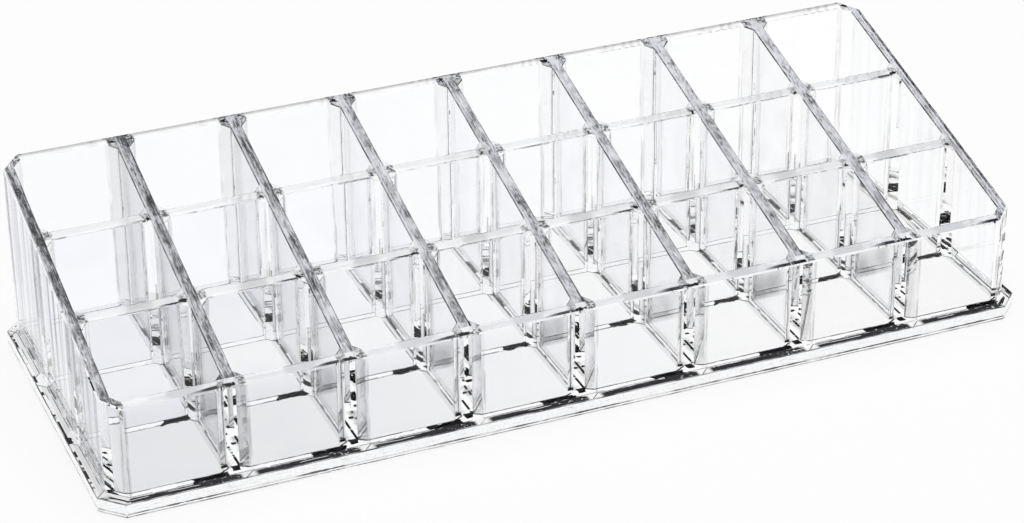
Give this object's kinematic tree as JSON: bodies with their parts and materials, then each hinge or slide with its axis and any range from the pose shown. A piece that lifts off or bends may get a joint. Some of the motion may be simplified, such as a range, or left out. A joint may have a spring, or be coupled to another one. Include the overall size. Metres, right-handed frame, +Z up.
{
  "type": "vanity organizer",
  "caption": "Clear rectangular tray with a rim that slopes down to the front, divided into open square cells that hold lipsticks upright, on a slightly wider base plate.",
  "frame": {"origin": "middle of the underside of the base plate", "axes": "+X to the right along the long side, +Y from the low front wall to the high back wall, +Z up"},
  "size_m": [0.2296, 0.0888, 0.0488],
  "materials": {
    "base_acrylic": "clear, polished",
    "wall_acrylic": "clear, polished",
    "divider_acrylic": "clear, polished, satin top edges"
  },
  "bodies": {
    "root": {"base_plate": "base_acrylic", "front_wall": "wall_acrylic", "back_wall": "wall_acrylic", "left_wall": "wall_acrylic", "right_wall": "wall_acrylic", "front_left_corner_post": "wall_acrylic", "front_right_corner_post": "wall_acrylic", "back_left_corner_post": "wall_acrylic", "back_right_corner_post": "wall_acrylic", "cross_divider_1": "divider_acrylic", "cross_divider_2": "divider_acrylic", "cross_divider_3": "divider_acrylic", "cross_divider_4": "divider_acrylic", "cross_divider_5": "divider_acrylic", "cross_divider_6": "divider_acrylic", "cross_divider_7": "divider_acrylic", "front_long_divider": "divider_acrylic", "rear_long_divider": "divider_acrylic"}
  },
  "joints": []
}
